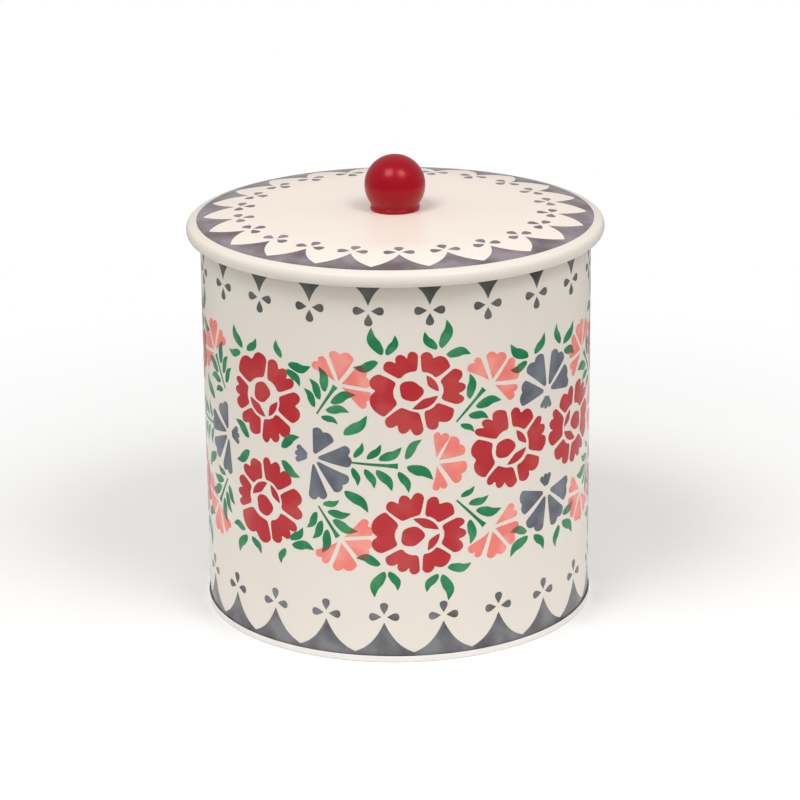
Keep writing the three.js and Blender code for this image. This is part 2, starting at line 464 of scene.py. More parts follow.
creamEnamel = makeEnamel("creamEnamel", (0.805, 0.750, 0.672), (0.785, 0.728, 0.648))
# the lid's face takes a lighter, pinker copy of the cream enamel: painted light where it faces the lamps
# above
litLidEnamel = makeEnamel("litLidEnamel", (0.905, 0.805, 0.725), (0.885, 0.780, 0.695), gloss=0.26)
baseEnamel = makeEnamel("baseEnamel", (0.86, 0.825, 0.79), (0.83, 0.795, 0.76))

inks = {
    # ink, thin ink, deep ink, patch size, patch amount, grain amount
    "red": ((0.49, 0.035, 0.041), (0.56, 0.090, 0.085), (0.44, 0.016, 0.024), 0.014, 0.50, 0.10),
    "coral": ((0.88, 0.238, 0.200), (0.93, 0.39, 0.33), (0.85, 0.170, 0.155), 0.009, 0.60, 0.12),
    "green": ((0.020, 0.215, 0.085), (0.095, 0.33, 0.145), (0.004, 0.165, 0.058), 0.010, 0.55, 0.08),
    "slate": ((0.138, 0.152, 0.184), (0.215, 0.232, 0.265), (0.085, 0.087, 0.105), 0.010, 0.65, 0.18),
    "shade": ((0.16, 0.105, 0.06), (0.19, 0.15, 0.085), (0.12, 0.07, 0.04), 0.010, 0.6, 0.10),
    "border": ((0.150, 0.148, 0.160), (0.235, 0.235, 0.248), (0.080, 0.072, 0.076), 0.011, 0.75, 0.22),
    # the mouth's border is a darker, greener copy of the foot's ink: painted shade under the lid's rim
    "darkBorder": ((0.105, 0.110, 0.105), (0.17, 0.175, 0.17), (0.05, 0.055, 0.05), 0.010, 0.70, 0.20),
    # the lid's border is a lighter, pinker copy of the slate ink: painted light where the lid faces the lamps
    "plumBorder": ((0.20, 0.160, 0.175), (0.30, 0.255, 0.275), (0.115, 0.085, 0.095), 0.012, 0.80, 0.22),
}


def makeInk(name, ink, thinInk, deepInk, patchSize, patchAmount, grainAmount, shift):
    return makeFinish(name + "Ink", enamel["shader"], inkPatches, {
        "Ink": ink, "Thin Ink": thinInk, "Deep Ink": deepInk, "Patch Size": patchSize,
        "Patch Amount": patchAmount, "Grain Amount": grainAmount, "Shift": shift,
    }, enamel["peel"], enamel["gloss"], enamel["glossChange"], enamel["peelHeight"])


inkShift = 0.37         # moves each ink's patches away from the next one's
inkFinish = {name: makeInk(name, *values, inkShift * i) for i, (name, values) in enumerate(inks.items())}


# clear food lacquer over rolled tinplate: fine lines along the sheet, a warm tint
insideLacquer = makeFinish(
    "insideLacquer", {"Metallic": 0.75, "Coat Weight": 0.5, "Coat Roughness": 0.12}, tonePatches, {
        "Tone": (0.66, 0.62, 0.54), "Other Tone": (0.52, 0.48, 0.41), "Patch Size": 0.03,
        "Fleck Size": 0.0006, "Fleck Amount": 0.6, "Stretch": (1, 1, 0.06),
    }, 0.0012, 0.30, 0.12, 0.000006, bumpFleck=True,
)
# a gloss coat over a deep red, slightly cloudy
redGloss = makeFinish(
    "redGloss", {"IOR": 1.5, "Specular IOR Level": 0.50, "Specular Tint": (1, 0.42, 0.37, 1)}, tonePatches, {
        "Tone": (0.37, 0.005, 0.016), "Other Tone": (0.30, 0.004, 0.012), "Patch Size": 0.012,
        "Fleck Size": 0.0008, "Fleck Amount": 0.3, "Stretch": (1, 1, 3),
    }, 0.003, 0.24, 0.08, 0.000006,
)
sealSilicone = makeFinish(
    "sealSilicone", {"Subsurface Weight": 0.15, "Subsurface Radius": (0.002, 0.002, 0.002)}, tonePatches, {
        "Tone": (0.80, 0.80, 0.77), "Other Tone": (0.70, 0.69, 0.65), "Patch Size": 0.02,
        "Fleck Size": 0.0007, "Fleck Amount": 0.4,
    }, 0.0007, 0.45, 0.15, 0.00001,
)


def makeMetal(name, tone, otherTone, gloss):
    # turned metal: fine rings round the axis
    material = makeFinish(name, {"Metallic": 1.0}, tonePatches, {
        "Tone": tone, "Other Tone": otherTone, "Patch Size": 0.004, "Fleck Size": 0.0004, "Fleck Amount": 0.7,
    }, 0.0006, gloss, 0.15)
    rings = material.node_tree.nodes.new("ShaderNodeTexWave")
    rings.wave_type = "RINGS"
    rings.rings_direction = "Z"
    setInputs(rings, {"Scale": 900.0, "Distortion": 0.6})
    feed(material.node_tree, rings.inputs["Vector"], ownPlace(material.node_tree))
    addBump(material, rings.outputs["Fac"], 0.000008)
    return material


zincPlate = makeMetal("zincPlate", (0.62, 0.64, 0.67), (0.45, 0.46, 0.50), 0.25)
turnedBrass = makeMetal("turnedBrass", (0.70, 0.47, 0.16), (0.52, 0.33, 0.11), 0.22)
print("stage: finishes are made")


body = {
    "footGap": 0.35 * mm,       # the wall's foot above the floor of the seam
    "footStraight": 0.8 * mm,   # plain wall above the seam, before the lap starts
    "lapHalfWidth": 2.2 * mm,   # half of the side seam's width
    "lapRise": 0.28 * mm,
    "lapSoft": 0.5 * mm,        # width of the step at each edge of the lap
    "curlSteps": 40,
}
seamTop = tin["seamTop"]
curlCentreZ = wallHigh.z - tin["curl"]
curlFoot = curlCentreZ - tin["curl"]
wallMiddle = wallRadius - tin["sheet"] / 2


def lapped(angle, radius, z):
    # the outer sheet stands proud along the lap at the back
    fromBack = abs(angle - math.pi) * wallRadius
    if radius < wallMiddle or z > curlFoot or z < seamTop:
        return radius
    edge = (body["lapHalfWidth"] - fromBack) / body["lapSoft"]
    return radius + body["lapRise"] * min(max(edge, 0), 1)


def makeBodyWall():
    # extra rings near the seam and the curl keep the lap's ends short
    lapStart = seamTop + body["footStraight"]
    heights = (
        tin["sheet"] + body["footGap"], lapStart, lapStart + 0.4 * mm,
        curlFoot - 0.6 * mm, curlFoot + 0.1 * mm,
    )
    curlMiddle = tin["curl"] - tin["sheet"] / 2
    path = [(wallMiddle, z) for z in heights]
    path += arc(wallMiddle + curlMiddle, curlCentreZ, curlMiddle, curlMiddle, 180, -90, body["curlSteps"])
    inside = wallMiddle - tin["sheet"] / 4
    return turnedPiece(
        "tin_body", sheetOutline(path, tin["sheet"]), [creamEnamel, insideLacquer],
        facets=tin["facets"] * 2, slotAt=lambda radius, z: int(radius < inside), shape=lapped,
    )


base = {
    "wallGap": 0.3 * mm,            # air between the wall and the seam's inner leg
    "bend": 0.45 * mm,              # radius at the foot of the seam
    "shoulderBend": 1.0 * mm,
    "beads": (28 * mm, 44 * mm),    # radii of two expansion beads
    "beadHalf": 1.5 * mm,
    "beadDepth": 0.35 * mm,
    "step": (54.2 * mm, 2.4 * mm),  # where the raised middle falls, and over what width
    "stepDrop": 0.8 * mm,
}


def makeBase():
    sheet = tin["sheet"]
    chuck = wallRadius - sheet - base["wallGap"] - sheet / 2
    outer = baseHigh.x - sheet / 2
    panel = baseHigh.z - sheet / 2
    low = panel - base["stepDrop"]
    bend, shoulder = base["bend"], base["shoulderBend"]
    path = [(0, panel), (10 * mm, panel)]
    half, steps = base["beadHalf"], 10
    for radius in base["beads"]:
        path += [(radius - half - 0.5 * mm, panel)]
        path += [
            (radius - half + 2 * half * i / steps, panel - base["beadDepth"] * math.sin(math.pi * i / steps))
            for i in range(steps + 1)
        ]
        path += [(radius + half + 0.5 * mm, panel)]
    start, width = base["step"]
    steps = 8
    path += [(start - 0.2 * mm, panel)]
    path += [
        (start + width * i / steps, panel - base["stepDrop"] * (1 - math.cos(math.pi * i / steps)) / 2)
        for i in range(steps + 1)
    ]
    path += [(57 * mm, low), (70 * mm, low)]
    path += arc(chuck - shoulder, low - shoulder, shoulder, shoulder, 90, 0, 8)
    path += arc(chuck + bend, sheet / 2 + bend, bend, bend, 180, 270, 8)
    path += arc(outer - bend, sheet / 2 + bend, bend, bend, 270, 360, 8)
    path += [(outer, seamTop - 0.5 * mm)]
    outline = sheetOutline(path, sheet)
    # the folded edge closes in a round lip
    lip = arc(outer, seamTop - sheet / 2, sheet / 2, sheet / 2, 0, 180, 6)
    outline = outline[:len(path)] + lip[::-1] + outline[len(path):]
    insideLow = panel - 1.5 * base["stepDrop"]

    def slotAt(radius, z):
        return 1 if radius < chuck + sheet / 4 and z > insideLow else 0

    return turnedPiece("tin_base", outline, [baseEnamel, insideLacquer], slotAt=slotAt)


tinBody = makeBodyWall()
tinBase = makeBase()
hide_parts("body_wall")
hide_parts("base_plate")
for piece in (tinBody, tinBase):
    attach(piece, "tin")
print("stage: body and base are made")


lid = {
    "rimSteps": 64,
    "screwHole": 2.5 * mm,
    "flatRing": 12 * mm,        # a ring of the flat middle, so that the shading stays even
}


def lidFace(start, stop, steps, depth):
    radii = [start + (stop - start) * i / steps for i in range(steps + 1)]
    return [(radius, lidLevel(radius) - depth) for radius in radii]


def makeLidShell():
    sheet = tin["sheet"]
    rimR = lidRadius - tin["rimWidth"] / 2
    rimZ = lidLow.z + tin["rimHeight"] / 2
    across, tall = (tin["rimWidth"] - sheet) / 2, (tin["rimHeight"] - sheet) / 2
    path = [(lid["screwHole"], lidTop - sheet / 2), (lid["flatRing"], lidTop - sheet / 2)]
    path += lidFace(tin["flatRadius"], tin["shoulderEdge"], 24, sheet / 2)
    path += arc(rimR, rimZ, across, tall, 80, -155, lid["rimSteps"])

    # the top face takes the lighter copy of the enamel, which is painted light; the underside is lacquer and
    # the rim keeps the wall's cream
    def slotAt(radius, z):
        if radius > tin["shoulderEdge"]:
            return 2
        return 1 if z < lidLevel(radius) - sheet / 2 else 0

    return turnedPiece(
        "lid_top", sheetOutline(path, sheet), [litLidEnamel, insideLacquer, creamEnamel], slotAt=slotAt,
    )


collar = {
    "flangeInside": 60 * mm,
    "bend": 1.0 * mm,           # where the flange turns down
    "footBend": 0.7 * mm,
    "footReach": 0.4 * mm,      # the foot turns in this far past the groove
    "groove": 1.6 * mm,         # depth of the seal's groove
    "sealGap": 0.3 * mm,
    "ease": 0.2 * mm,           # cut off the groove's corners
}


def makeCollar():
    sheet = tin["sheet"]
    outer = plugHigh.x - sheet / 2
    inner = outer - collar["groove"]
    bottom = plugLow.z + sheet / 2
    bend, foot, ease = collar["bend"], collar["footBend"], collar["ease"]
    depth = lidLevel(collar["flangeInside"]) - plugHigh.z + sheet / 2
    path = lidFace(collar["flangeInside"], outer - bend, 8, depth)
    path += arc(outer - bend, path[-1][1] - bend, bend, bend, 80, 0, 10)
    # the groove's two sides, each one eased in the same way
    room = collar["sealGap"] + sheet / 2
    for edge, side in ((sealHigh.z + room, 1), (sealLow.z - room, -1)):
        wall = [(outer, edge + side * 3 * ease), (outer - ease, edge + side * ease)]
        wall += [(inner + ease, edge - side * ease / 4), (inner, edge - side * 1.5 * ease)]
        path += wall if side == 1 else wall[::-1]
    path += arc(outer - foot, bottom + foot, foot, foot, 0, -90, 8)
    path += [(inner - collar["footReach"], bottom)]
    return turnedPiece("lid_collar", sheetOutline(path, sheet), [insideLacquer])


seal = {
    "lipDepth": 0.9 * mm,       # from the lips' tips to the valley between them
    "steps": 36,
}


def makeSeal():
    inside = plugHigh.x - collar["groove"] + collar["sealGap"]
    valley = sealHigh.x - seal["lipDepth"]
    low, high = sealLow.z, sealHigh.z
    outline = [(inside, low), (inside, high)]
    for i in range(seal["steps"] + 1):
        t = i / seal["steps"]
        lips = abs(math.sin(2 * math.pi * t)) ** 0.8
        outline.append((valley + seal["lipDepth"] * lips, high + (low - high) * t))
    return turnedPiece("lid_seal", outline, [sealSilicone])


lidPressing = makeLidShell()
lidCollar = makeCollar()
lidSeal = makeSeal()
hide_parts("lid_shell")
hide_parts("lid_plug")
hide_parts("seal_ring")
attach(lidPressing, "lid")
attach(lidCollar, "lid")
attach(lidSeal, "seal")
print("stage: lid, collar and seal are made")


knob = {
    "foot": 9.8 * mm,
    "neck": 9.4 * mm,
    "footSoft": 0.85 * mm,      # rounding at the top of the foot
    "footEase": 0.4 * mm,       # and where it meets the lid
    "bore": 3.6 * mm,
    "boreDepth": 12 * mm,
    "facets": 96,
}


def makeKnob():
    radius = knobHigh.x
    centre = knobHigh.z - radius
    bottom = lidTop + 0.02 * mm     # just clear of the lid's enamel
    neckAngle = -math.degrees(math.acos(knob["neck"] / radius))
    neckZ = centre + radius * math.sin(math.radians(neckAngle))
    boreTop = knobLow.z + knob["boreDepth"]
    bore, foot, soft, ease = knob["bore"], knob["foot"], knob["footSoft"], knob["footEase"]
    outline = [(0, boreTop), (bore, boreTop), (bore, bottom), (foot - ease, bottom)]
    outline += arc(foot - ease, bottom + ease, ease, ease, -80, 0, 6)
    outline += arc(foot - soft, neckZ - 0.5 * mm - soft, soft, soft, 0, 55, 8)
    ball = arc(0, centre, radius, radius, neckAngle + 1.2, 90, 60)
    ball[-1] = (0, ball[-1][1])
    return turnedPiece("knob_ball", outline + ball, [redGloss], facets=knob["facets"])


washer = {
    "hole": 2.4 * mm,
    "soft": 0.2 * mm,
    "facets": 64,
}


def makeWasher():
    low, high, edge = washerLow.z, washerHigh.z, washerHigh.x
    hole, soft = washer["hole"], washer["soft"]
    outline = [(hole, low), (edge - soft, low)]
    outline += arc(edge - soft, low + soft, soft, soft, -60, 0, 3)
    outline += arc(edge - soft, high - soft, soft, soft, 0, 60, 3)
    outline += [(edge - soft, high), (hole, high)]
    return turnedPiece("washer", outline, [zincPlate], facets=washer["facets"])


screw = {
    "shank": 2.0 * mm,
    "headHeight": 2.4 * mm,
    "headRound": (1.6 * mm, 1.3 * mm),
    "turns": 13,
    "pitch": 0.7 * mm,
    "threadDepth": 0.28 * mm,
    "recessMouth": (4.2 * mm, 1.0 * mm),    # length and width of each arm of the cross
    "recessFloor": (2.6 * mm, 0.7 * mm),
    "recessDepth": 1.4 * mm,
    "facets": 64,
}


def makeScrew():
    head, shank, pitch = screwHigh.x, screw["shank"], screw["pitch"]
    low, tip = screwLow.z, screwHigh.z
    shoulder = low + screw["headHeight"]
    across, tall = screw["headRound"]
    outline = [(0, low), (head - across, low)]
    outline += arc(head - across, low + tall, across, tall, -80, 0, 10)
    outline += [(head, shoulder), (shank, shoulder)]
    for i in range(screw["turns"]):
        z = shoulder + 0.6 * mm + pitch * i
        outline += [(shank, z), (shank - screw["threadDepth"], z + pitch / 2)]
    outline += [(shank, tip - 0.6 * mm), (shank - 0.5 * mm, tip), (0, tip)]
    piece = turnedPiece("screw", outline, [zincPlate], facets=screw["facets"])
    for turn in (0, 90):
        cutRecess(piece, low, turn)
    return piece


def cutRecess(piece, low, turn):
    # one tapered blade of the cross recess
    cutter = bmesh.new()
    bmesh.ops.create_cube(cutter, size=1)
    for v in cutter.verts:
        deep = v.co.z > 0
        length, width = screw["recessFloor"] if deep else screw["recessMouth"]
        v.co.x *= length
        v.co.y *= width
        v.co.z = low + (screw["recessDepth"] if deep else -0.5 * mm)
    cutMesh = bpy.data.meshes.new("recess")
    cutter.to_mesh(cutMesh)
    cutter.free()
    cutMesh.transform(Matrix.Rotation(math.radians(turn), 4, "Z"))
    cutObject = addObject("recess", cutMesh)
    cut = piece.modifiers.new("recess", "BOOLEAN")
    cut.operation = "DIFFERENCE"
    cut.solver = "EXACT"
    cut.object = cutObject
    bpy.context.view_layer.update()
    piece.data = bpy.data.meshes.new_from_object(piece.evaluated_get(bpy.context.evaluated_depsgraph_get()))
    piece.modifiers.clear()
    bpy.data.objects.remove(cutObject)


knobBall = makeKnob()
steelWasher = makeWasher()
panScrew = makeScrew()
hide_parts("knob")
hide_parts("knob_washer")
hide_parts("knob_screw")
for piece, slotName in ((knobBall, "red_gloss"), (steelWasher, "zinc_steel"), (panScrew, "zinc_steel")):
    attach(piece, "lid")
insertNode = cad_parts["knob_insert"]
insertNode.data.materials.clear()
insertNode.data.materials.append(turnedBrass)
print("stage: knob and fasteners are made")


# the stencilled print is drawn on the flattened sheet, in millimetres
dice = random.Random(41)


def soften(points):
    # cuts every corner, so that the outline reads as brushed through a stencil
    softer = []
    for (x0, y0), (x1, y1) in zip(points, points[1:] + points[:1]):
        softer.append((0.75 * x0 + 0.25 * x1, 0.75 * y0 + 0.25 * y1))
        softer.append((0.25 * x0 + 0.75 * x1, 0.25 * y0 + 0.75 * y1))
    return softer


def ringPoint(cx, cy, angle, radius):
    return cx + radius * math.cos(angle), cy + radius * math.sin(angle)


def petal(cx, cy, middle, half, inner, outer, lobes, dip, gap, lean=0.0, skew=0.0, base=0.0):
    # a wedge of a ring with a lobed outer edge and a gap left at each side
    outline = [(-0.94, 0.05), (-0.7, 0), (-0.35, -base), (0, -base), (0.35, -base), (0.7, 0), (0.94, 0.05)]
    outline += [(1, 0.30), (1, 0.62)]
    steps = 9 * lobes
    for i in range(steps + 1):
        x = 1 - 2 * i / steps
        warped = x + skew * (1 - x * x)
        lobe = abs(math.sin(math.pi * lobes * (warped + 1) / 2)) ** 0.5
        notch = dip * (1 - lobe) * (1 - 0.5 * x ** 4) / (1 - inner / outer)
        outline.append((x, 1 - notch - 0.04 * x ** 6))
    outline += [(-1, 0.62), (-1, 0.30)]
    points = []
    for x, y in outline:
        radius = inner + (outer - inner) * y
        sweep = max(math.radians(half) - gap / max(radius, 0.8), 0.05)
        angle = math.radians(middle) + x * sweep + lean * (radius - inner) / outer
        points.append(ringPoint(cx, cy, angle, radius))
    return soften(points)


def crescent(cx, cy, middle, half, radius, width):
    outerEdge, innerEdge = [], []
    steps = 16
    for i in range(steps + 1):
        s = -1 + 2 * i / steps
        angle = math.radians(middle + half * s)
        outerEdge.append(ringPoint(cx, cy, angle, radius))
        if 0 < i < steps:
            innerEdge.append(ringPoint(cx, cy, angle, radius - width * math.cos(s * math.pi / 2) ** 0.6))
    return outerEdge + innerEdge[::-1]


def bud(cx, cy, radius, turn):
    # an uneven round
    points = []
    steps, wobble = 30, 0.07
    for i in range(steps):
        t = 2 * math.pi * i / steps
        swell = math.cos(2 * t + turn) + 0.7 * math.cos(3 * t) + 0.5 * math.cos(5 * t)
        points.append(ringPoint(cx, cy, t, radius * (1 + wobble * swell)))
    return points


def leaf(x0, y0, x1, y1, width, bend=0.09, side=1):
    # base to tip, swelling early to a long point, bowed to one side, rippled along one edge
    dx, dy = x1 - x0, y1 - y0
    length = math.hypot(dx, dy)
    nx, ny = -dy / length, dx / length
    phase = dice.uniform(-0.6, 0.6)
    steps, ripple = 22, 0.05
    smoothEdge, wavyEdge = [], []
    for i in range(steps + 1):
        s = i / steps
        swell = s ** 0.75 * (1 - s) / 0.303 * width / 2     # 0.303 is the peak of the curve
        bow = bend * length * (math.sin(math.pi * s) - 0.35 * math.sin(2 * math.pi * s)) * side
        wave = swell * (1 + ripple * math.sin(5.2 * math.pi * s + phase))
        for edge, off in ((smoothEdge, bow + swell * side), (wavyEdge, bow - wave * side)):
            edge.append((x0 + dx * s + nx * off, y0 + dy * s + ny * off))
    return smoothEdge + wavyEdge[-2:0:-1]


stemForm = {
    "thin": 0.7,
    "cup": 2.3,
    # share of the length, and times the thin width or times the cup
    "thinPart": ((0, 1), (0.45, 1.5), (0.74, 1.8)),
    "cupPart": ((0.90, 0.75), (1, 1)),
}


def stem(x0, y0, x1, y1):
    # a stroke that widens into a small cup at its far end
    length = math.hypot(x1 - x0, y1 - y0)
    nx, ny = -(y1 - y0) / length, (x1 - x0) / length
    widths = [(along, stemForm["thin"] * times) for along, times in stemForm["thinPart"]]
    widths += [(along, stemForm["cup"] * times) for along, times in stemForm["cupPart"]]
    edges = []
    for side in (1, -1):
        edge = []
        for along, width in widths:
            px, py = x0 + (x1 - x0) * along, y0 + (y1 - y0) * along
            edge.append((px + side * nx * width / 2, py + side * ny * width / 2))
        edges.append(edge)
    return edges[0] + edges[1][::-1]


def drop(cx, cy, direction, start, length, width):
    # a drop whose point faces the centre
    a = math.radians(direction)
    ux, uy = math.cos(a), math.sin(a)
    points = []
    steps = 22
    for i in range(steps):
        t = 2 * math.pi * i / steps
        out = (1 - math.cos(t)) / 2
        along, across = start + length * out, 0.62 * width * math.sin(t) * out ** 0.75
        points.append((cx + ux * along - uy * across, cy + uy * along + ux * across))
    return points


roseForm = {
    "shares": (1.22, 0.98, 0.88, 1.06, 0.88, 0.98),     # each petal's share of the turn
    "lobes": (2, 3, 2, 3, 2, 3),
    "gap": 0.66,
    "ring": 0.42,                                       # outside of the curled petals
    "curls": ((-114, 34, 0.175), (-208, 46, 0.215)),    # turn, half width, thickness
    "bud": (25, 0.15, 0.24),                            # turn, offset, radius
}


def rose(cx, cy, radius, turn, wide=1.0):
    # uneven lobed petals round a ring, with a bud and curled petals inside
    start = turn
    shapes = []
    for share, lobes in zip(roseForm["shares"], roseForm["lobes"]):
        span = 360 * share / sum(roseForm["shares"])
        shapes.append(petal(
            cx, cy, start + span / 2, span / 2, radius * dice.uniform(0.465, 0.505),
            radius * dice.uniform(0.95, 1.07), lobes=lobes, dip=dice.uniform(0.16, 0.24),
            gap=roseForm["gap"], lean=dice.uniform(-0.04, 0.16), skew=dice.uniform(-0.24, 0.24),
            base=dice.uniform(-0.05, 0.02),
        ))
        start += span
    budTurn, budOut, budRadius = roseForm["bud"]
    shapes.append(bud(
        *ringPoint(cx, cy, math.radians(turn + budTurn), budOut * radius), radius * budRadius, turn
    ))
    for curlTurn, half, thickness in roseForm["curls"]:
        shapes.append(crescent(cx, cy, turn + curlTurn, half, radius * roseForm["ring"], radius * thickness))
    return [[(cx + (x - cx) * wide, y) for x, y in shape] for shape in shapes]


def fan(cx, cy, length, direction):
    # four lobed petals that open from one point, the outer ones slimmer
    spread, shares = 200, (0.86, 1.14, 1.14, 0.86)
    start = direction - spread / 2
    shapes = []
    for share in shares:
        span = spread * share / sum(shares)
        shapes.append(petal(
            cx, cy, start + span / 2, span / 2, length * 0.13, length * dice.uniform(0.94, 1.10),
            lobes=2, dip=0.15, gap=0.8, lean=dice.uniform(-0.12, 0.12), skew=dice.uniform(-0.15, 0.15),
        ))
        start += span
    return shapes


def bloom(cx, cy, petals):
    # broad separate petals, each as (direction, reach, half width in degrees)
    shapes = []
    for direction, reach, half in petals:
        shapes.append(petal(
            cx, cy, direction, half, reach * 0.16, reach, lobes=2, dip=dice.uniform(0.09, 0.13),
            gap=0.3, lean=dice.uniform(-0.08, 0.08), skew=dice.uniform(-0.15, 0.15),
        ))
    return shapes


def calyx(cx, cy, length, direction):
    return [petal(cx, cy, direction, 34, length * 0.30, length, lobes=3, dip=0.16, gap=0.2)]


leafForm = {
    "trioStart": 2.4,       # a trio's leaves start this far from their common point
    "trioSlim": 0.31,       # width over length
    "sprigStart": 2.0,      # a sprig's leaves start this far from its stem
    "sprigSlim": 0.36,
}


def leafTrio(cx, cy, directions, lengths):
    # the first two leaves bow away from each other
    shapes = []
    for k, (direction, length) in enumerate(zip(directions, lengths)):
        a = math.radians(direction)
        foot, tip = ringPoint(cx, cy, a, leafForm["trioStart"]), ringPoint(cx, cy, a, length)
        shapes.append(leaf(*foot, *tip, length * leafForm["trioSlim"], side=-1 if k % 2 else 1, bend=0.11))
    return shapes


def sprig(x0, y0, x1, y1, leftLeaves, rightLeaves):
    # a stem with leaves at each side, each leaf as (share of the stem, angle off it, length)
    length = math.hypot(x1 - x0, y1 - y0)
    ux, uy = (x1 - x0) / length, (y1 - y0) / length
    heading = math.degrees(math.atan2(uy, ux))
    shapes = [stem(x0, y0, x1, y1)]
    for side, leaves in ((1, leftLeaves), (-1, rightLeaves)):
        off = side * leafForm["sprigStart"]
        for along, angle, size in leaves:
            px, py = x0 + ux * length * along - uy * off, y0 + uy * length * along + ux * off
            tip = ringPoint(px, py, math.radians(heading + side * angle), size)
            shapes.append(leaf(px, py, *tip, size * leafForm["sprigSlim"], side=-side))
    return shapes


band = {
    "middle": 81.0,         # height of the band's centre line
    "firstAxis": -56.0,     # first mirror axis, along the sheet from the front
    "quarters": 4,
    "seamMargin": 2.9,      # plain strip each side of the lap's centre line
}
circumference = 2 * math.pi * wallRadius / mm
quarter = circumference / band["quarters"]


def inked(ink, shapes):
    return [(ink, shape) for shape in shapes]


def middleMotifs():
    # motifs on the centre line: x from the mirror axis, y from the centre line
    row = inked("red", rose(102.0, 1.8, 16.3, 150, wide=1.11))
    row += inked("slate", bloom(22.4, 0.8, ((63, 12.6, 26), (5, 16.0, 19), (-40, 16.8, 18), (-82, 17.0, 16))))
    row += inked("slate", calyx(22.4, 0.8, 7.6, 172))
    row += inked("coral", fan(70.4, 0.4, 12.2, 2))
    leaves = sprig(
        37.5, 0.4, 56.0, -0.6, ((0.09, 66, 7.2), (0.36, 52, 8.2), (0.60, 34, 10.2)),
        ((0.06, 72, 7.6), (0.32, 62, 8.6), (0.56, 52, 10.4)),
    )
    leaves.append(leaf(58.8, 2.2, 65.2, 9.8, 3.4))
    leaves.append(leaf(59.4, -0.8, 69.4, -6.6, 4.3))
    leaves.append(leaf(56.2, -2.8, 60.0, -11.4, 3.3))
    return row + inked("green", leaves)


def sideMotifs():
    # motifs above the centre line, which are mirrored below it
    row = inked("red", rose(64.0, 28.8, 16.7, 146, wide=1.11))
    row += inked("coral", fan(33.4, 31.0, 12.4, 50))
    row += inked("coral", fan(93.2, 29.2, 12.3, 48))
    leaves = sprig(
        24.6, 18.6, 32.4, 30.4, ((0.12, 66, 8.4), (0.40, 62, 9.0), (0.68, 48, 10.2)),
        ((0.02, 76, 7.2), (0.26, 58, 9.4), (0.52, 36, 10.8)),
    )
    leaves += sprig(
        78.6, 15.8, 90.0, 27.6, ((0.60, 44, 10.2),), ((0.02, 80, 6.8), (0.30, 62, 8.8), (0.56, 42, 11.2)),
    )
    leaves += leafTrio(51.3, 41.2, (110, 68, 193), (14, 11, 12.2))
    leaves += leafTrio(72.4, 43.1, (122, 79, -5), (11, 13.7, 12.2))
    leaves.append(leaf(35.3, 11.3, 44.5, 19.6, 4.2, side=-1))
    leaves.append(leaf(8.5, 2.7, 17.0, 8.2, 3.8))
    return row + inked("green", leaves)


def axisMotifs():
    # motifs on or beside a mirror axis, which are drawn once for each pair of quarters
    row = inked("red", rose(0, 20.6, 17.2, 80))
    petals = ((172, 15.0, 23), (117, 16.6, 22), (64, 16.4, 21), (10, 14.8, 23))
    row += inked("slate", bloom(quarter, 20.4, petals))
    row += inked("slate", calyx(quarter, 20.4, 7.2, 262))
    leaves = leafTrio(10.1, 36.3, (108, 4, -46), (9.6, 12.4, 10.9))
    leaves += leafTrio(-10.1, 36.3, (122, 48, 182), (12.4, 10.4, 10.4))
    leaves += leafTrio(112.4, 34.9, (142, 54, 190), (13.6, 11.7, 11.0))
    leaves += leafTrio(2 * quarter - 112.4, 34.9, (106, 42, -24), (11.4, 13.4, 11.8))
    return row + inked("green", leaves)


def bandShapes():
    shapes = []
    centreRow, sideRow, axisRow = middleMotifs(), sideMotifs(), axisMotifs()
    for k in range(band["quarters"]):
        flip = -1 if k % 2 else 1
        origin = band["firstAxis"] + 2 * quarter * ((k + 1) // 2)
        sets = [(centreRow, (1,)), (sideRow, (1, -1))]
        if flip == 1:
            sets.append((axisRow, (1, -1)))
        for motifs, rows in sets:
            for row in rows:
                for ink, shape in motifs:
                    moved = [(origin + flip * x, band["middle"] + row * y) for x, y in shape]
                    shapes.append((ink, moved))
    return shapes


border = {
    # repeats round the tin, degrees of the first, and heights of the tip, the valley and the trefoil
    "foot": {"repeats": 21, "phase": -4.4, "spike": 16.4, "valley": 3.9, "trefoil": 18.7},
    "mouth": {"repeats": 21, "phase": -7.8, "spike": 143.6, "root": 151.2, "trefoil": 141.6},
    "mouthHalfWidth": 4.9,
    "shadeIntoSeam": 0.6,        # the foot's ink runs down behind the seam's edge, so that the gap there shows dark: painted shade
    "intoCurl": 0.8,        # the mouth's spikes widen by this much up to the curl
    # on the lid these are radii
    "lid": {"repeats": 22, "phase": 1.2, "spike": 64.3, "valley": 75.8, "trefoil": 61.8, "edge": 78.4},
    "petalStart": 1.0,
    "petalReach": 5.9,
    "petalWidth": 3.7,
    "lidPetalWidth": 4.3,
    "steps": 14,
}


def spikeEdge(centre, half, base, tip, straight=0.42, sharpness=1.0):
    # one repeat of a pointed edge: at the tip in the middle, and back at the base half a repeat away
    edge = []
    for i in range(-border["steps"], border["steps"] + 1):
        t = 1 - abs(i) / border["steps"]
        profile = straight * t + (1 - straight) * t ** 2.9
        edge.append((centre + half * i / border["steps"], base + (tip - base) * profile ** sharpness))
    return edge


def trefoil(cx, cy, directions, width=border["petalWidth"]):
    start = border["petalStart"]
    return [drop(cx, cy, direction, start, border["petalReach"] - start, width) for direction in directions]


def repeats(places, span):
    # the centre of each repeat, and half its width
    for k in range(places["repeats"]):
        yield span * (places["phase"] / 360 + k / places["repeats"]), span / places["repeats"] / 2


def footShapes():
    shapes = []
    places = border["foot"]
    # the ink reaches below the seam's top, where it paints the shade in the gap behind the seam
    low = seamTop / mm - border["shadeIntoSeam"]
    for centre, half in repeats(places, circumference):
        top = spikeEdge(centre, half, places["valley"], places["spike"])
        shapes += inked("border", [[(centre + half, low), *top[::-1], (centre - half, low)]])
        shapes += inked("border", trefoil(centre, places["trefoil"], (0, 90, 180)))
    return shapes


